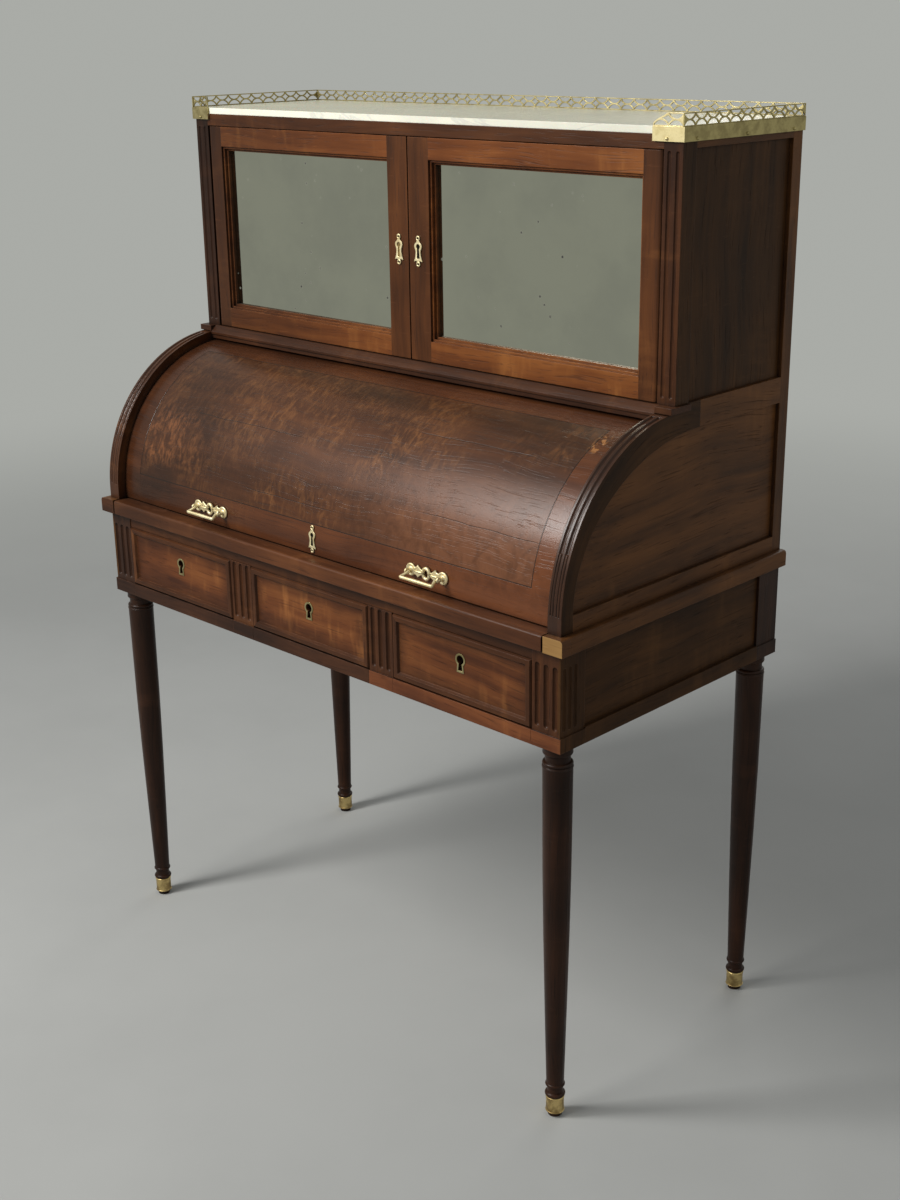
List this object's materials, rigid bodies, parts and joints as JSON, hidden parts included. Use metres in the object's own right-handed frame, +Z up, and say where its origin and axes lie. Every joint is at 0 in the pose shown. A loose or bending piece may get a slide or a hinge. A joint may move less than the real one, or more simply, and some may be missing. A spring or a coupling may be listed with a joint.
{
  "type": "cylinder desk",
  "caption": "Mahogany cylinder desk on turned legs: frieze drawers, pull-out writing slide, rolling cylinder front and a mirrored cabinet under a galleried marble top.",
  "frame": {"origin": "on the floor, under the middle of the bounding box", "axes": "+Z up, the front faces -Y, +X to the right seen from the front"},
  "size_m": [1.046, 0.526, 1.4285],
  "materials": {
    "mahogany": "French polished, worn",
    "oak": "bare, aged",
    "brass": "aged lacquer",
    "marble": "honed",
    "mirror": "old silvering",
    "leather": "worn, waxed",
    "iron": "blackened"
  },
  "bodies": {
    "carcase": {"back_panel": "oak", "brass_gallery": "brass", "cabinet_base_moulding": "mahogany", "cabinet_floor": "oak", "cabinet_post_left": "mahogany", "cabinet_post_right": "mahogany", "cabinet_shelf": "oak", "cabinet_top_board": "oak", "cabinet_top_rail": "mahogany", "cylinder_cheek_left": "mahogany", "cylinder_cheek_right": "mahogany", "cylinder_pivots": "iron", "door_hinge_pins": "brass", "drawer_carriers": "oak", "fluted_stile_left": "mahogany", "fluted_stile_right": "mahogany", "frieze_back": "oak", "frieze_side_left": "mahogany", "frieze_side_right": "mahogany", "front_bottom_rails": "mahogany", "front_top_rail": "mahogany", "interior_bed": "mahogany", "leg_back_left": "mahogany", "leg_back_right": "mahogany", "leg_front_left": "mahogany", "leg_front_right": "mahogany", "leg_sabots": "brass", "marble_top": "marble", "pigeonhole_nest": "mahogany", "side_frame_left": "mahogany", "side_frame_right": "mahogany", "side_moulding_left": "mahogany", "side_moulding_right": "mahogany", "side_panels_lower": "mahogany", "side_panels_upper": "mahogany"},
    "drawer_left": {"drawer_left_front": "mahogany", "drawer_left_box": "oak", "drawer_left_lock": "brass"},
    "drawer_middle": {"drawer_middle_front": "mahogany", "drawer_middle_box": "oak", "drawer_middle_lock": "brass"},
    "drawer_right": {"drawer_right_front": "mahogany", "drawer_right_box": "oak", "drawer_right_lock": "brass"},
    "slide": {"writing_slide": "mahogany", "writing_leather": "leather"},
    "cylinder": {"cylinder_shell": "mahogany", "cylinder_arms": "iron", "cylinder_lock": "brass", "pull_plates": "brass"},
    "bail_left": {"pull_bail_left": "brass"},
    "bail_right": {"pull_bail_right": "brass"},
    "door_left": {"door_frame_left": "mahogany", "door_mirror_left": "mirror", "door_lock_left": "brass"},
    "door_right": {"door_frame_right": "mahogany", "door_mirror_right": "mirror", "door_lock_right": "brass"},
    "nest_drawer_left": {"nest_drawer_left": "mahogany"},
    "nest_drawer_right": {"nest_drawer_right": "mahogany"}
  },
  "joints": [
    {"name": "drawer_left_slide", "type": "slide", "parent": "carcase", "child": "drawer_left", "axis": [0, -1, 0], "range_m": [0, 0.3]},
    {"name": "drawer_middle_slide", "type": "slide", "parent": "carcase", "child": "drawer_middle", "axis": [0, -1, 0], "range_m": [0, 0.3]},
    {"name": "drawer_right_slide", "type": "slide", "parent": "carcase", "child": "drawer_right", "axis": [0, -1, 0], "range_m": [0, 0.3]},
    {"name": "writing_slide_pull", "type": "slide", "parent": "carcase", "child": "slide", "axis": [0, -1, 0], "range_m": [0, 0.25]},
    {"name": "cylinder_roll", "type": "hinge", "parent": "carcase", "child": "cylinder", "pos_m": [0, -0.007, 0.791], "axis": [-1, 0, 0], "range_deg": [0, 72]},
    {"name": "bail_left_swing", "type": "hinge", "parent": "cylinder", "child": "bail_left", "pos_m": [-0.248, -0.24605, 0.801], "axis": [-1, 0, 0], "range_deg": [0, 70]},
    {"name": "bail_right_swing", "type": "hinge", "parent": "cylinder", "child": "bail_right", "pos_m": [0.248, -0.24605, 0.801], "axis": [-1, 0, 0], "range_deg": [0, 70]},
    {"name": "door_left_hinge", "type": "hinge", "parent": "carcase", "child": "door_left", "pos_m": [-0.4729, -0.01, 0], "axis": [0, 0, -1], "range_deg": [0, 95]},
    {"name": "door_right_hinge", "type": "hinge", "parent": "carcase", "child": "door_right", "pos_m": [0.4729, -0.01, 0], "axis": [0, 0, 1], "range_deg": [0, 95]},
    {"name": "nest_drawer_left_slide", "type": "slide", "parent": "carcase", "child": "nest_drawer_left", "axis": [0, -1, 0], "range_m": [0, 0.1]},
    {"name": "nest_drawer_right_slide", "type": "slide", "parent": "carcase", "child": "nest_drawer_right", "axis": [0, -1, 0], "range_m": [0, 0.1]}
  ]
}
